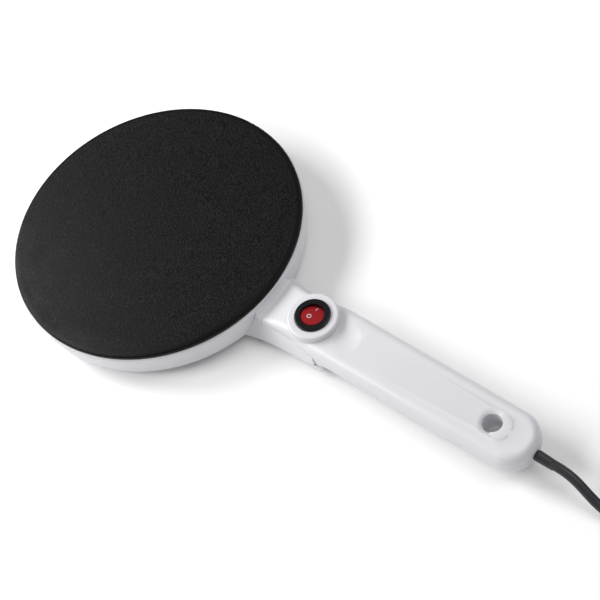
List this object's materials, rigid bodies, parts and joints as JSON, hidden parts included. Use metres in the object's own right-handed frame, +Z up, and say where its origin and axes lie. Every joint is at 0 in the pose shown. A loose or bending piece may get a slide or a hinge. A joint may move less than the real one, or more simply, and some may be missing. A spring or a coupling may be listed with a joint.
{
  "type": "pancake maker",
  "caption": "Hand-held dip pancake maker: domed non-stick plate on a white plastic head and handle, rocker switch, hanging hole and mains cord.",
  "frame": {"origin": "on the table, under the middle of the head and handle without the cord", "axes": "+X along the handle, from the plate towards the cord, +Z up, away from the table, as it stands on its feet"},
  "size_m": [0.521, 0.2177, 0.0341],
  "materials": {
    "nonstick": "domed aluminium with a fine-grained black non-stick coating",
    "white_plastic": "white moulded plastic, satin gloss",
    "black_plastic": "black glossy moulded plastic",
    "red_plastic": "red moulded plastic, satin",
    "silicone": "heat-proof silicone rubber",
    "foot_rubber": "soft light grey rubber",
    "steel": "zinc-plated steel",
    "element": "oxidised stainless sheath",
    "shield": "plain aluminium sheet",
    "ceramic": "fired steatite",
    "phenolic": "dark phenolic moulding",
    "contact_brass": "brass strip",
    "sleeve": "woven glass-fibre sleeve",
    "cord_black": "dark flexible cord jacket",
    "wire_brown": "brown wire insulation",
    "wire_blue": "blue wire insulation",
    "wire_white": "white silicone wire insulation",
    "nickel": "nickel-plated brass",
    "tie": "black plastic strap"
  },
  "bodies": {
    "base": {"clamp_nuts": "steel", "clamp_washers": "steel", "cooking_plate": "nonstick", "cord_boot": "cord_black", "cord_coil": "cord_black", "cord_run": "cord_black", "cord_tail": "cord_black", "cord_tie": "tie", "element_clamp": "steel", "element_insulators": "ceramic", "element_pins": "steel", "fuse_clip": "steel", "fuse_sleeve": "sleeve", "handle_bottom_shell": "white_plastic", "handle_screws": "steel", "handle_top_shell": "white_plastic", "head_bowl": "white_plastic", "heat_shield": "shield", "heater_wire": "wire_white", "heating_element": "element", "live_wire": "wire_brown", "neck_screws": "steel", "neutral_wire": "wire_blue", "plate_screws": "steel", "plate_studs": "steel", "plug_blades": "nickel", "plug_body": "cord_black", "rim_gasket": "silicone", "rubber_feet": "foot_rubber", "switch_body": "black_plastic", "switch_receptacles": "contact_brass", "switch_terminals": "contact_brass", "switched_wire": "wire_white", "thermal_fuse": "nickel", "thermostat_body": "phenolic", "thermostat_cap": "shield", "thermostat_screws": "steel", "thermostat_tabs": "contact_brass"},
    "rocker": {"rocker": "red_plastic", "rocker_plunger": "black_plastic", "rocker_spring": "steel"},
    "lever": {"contact_lever": "contact_brass"}
  },
  "joints": [
    {"name": "rocker_rock", "type": "hinge", "parent": "base", "child": "rocker", "pos_m": [0.03965, 0, 0.0286], "axis": [1, 0, 0], "range_deg": [0, 22]},
    {"name": "lever_rock", "type": "hinge", "parent": "base", "child": "lever", "pos_m": [0.03965, 0, 0.0203], "axis": [1, 0, 0], "range_deg": [-12, 0]}
  ],
  "couplings": [
    {"joint": "lever_rock", "follows": "rocker_rock", "ratio": -0.5454}
  ]
}
